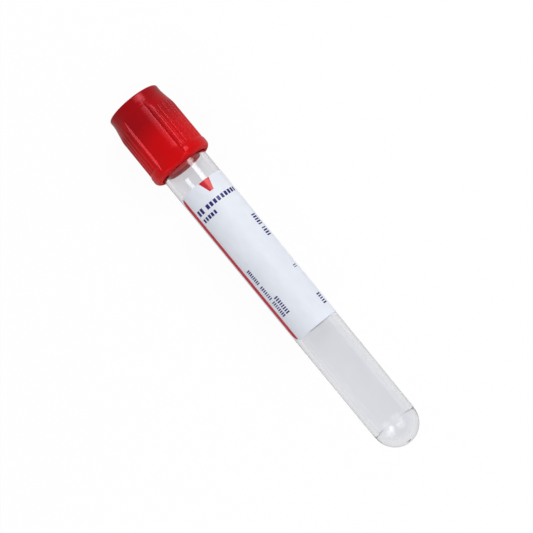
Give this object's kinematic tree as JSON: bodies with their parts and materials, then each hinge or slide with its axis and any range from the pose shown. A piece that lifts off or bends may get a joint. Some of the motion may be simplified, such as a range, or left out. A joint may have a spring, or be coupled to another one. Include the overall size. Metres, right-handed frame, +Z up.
{
  "type": "blood collection tube",
  "caption": "Clear round-bottomed specimen tube with a wrap label, closed by a rubber stopper held in a ribbed cap that twists and pulls off.",
  "frame": {"origin": "middle of the footprint on the floor, half way along the object", "axes": "+X towards the round end, +Z up. The tube lies on its side and its axis leans 1.26 degrees down towards +X, because it rests on a flat of the cap's collar and on the round end"},
  "size_m": [0.1108, 0.0172, 0.0162],
  "materials": {
    "tube": "clear, polished",
    "label": "white printed film, satin",
    "stopper": "matte",
    "shield": "moulded, glossy"
  },
  "bodies": {
    "tube": {"tube": "tube", "label": "label"},
    "stopper": {"stopper": "stopper"},
    "shield": {"shield": "shield"}
  },
  "joints": [
    {"name": "closure_pull", "type": "slide", "parent": "tube", "child": "stopper", "axis": [-0.9998, 0, 0.022], "range_m": [0, 0.025]},
    {"name": "shield_twist", "type": "hinge", "parent": "stopper", "child": "shield", "pos_m": [-0.04461, 0, 0.00827], "axis": [-0.9998, 0, 0.022], "continuous": true}
  ]
}
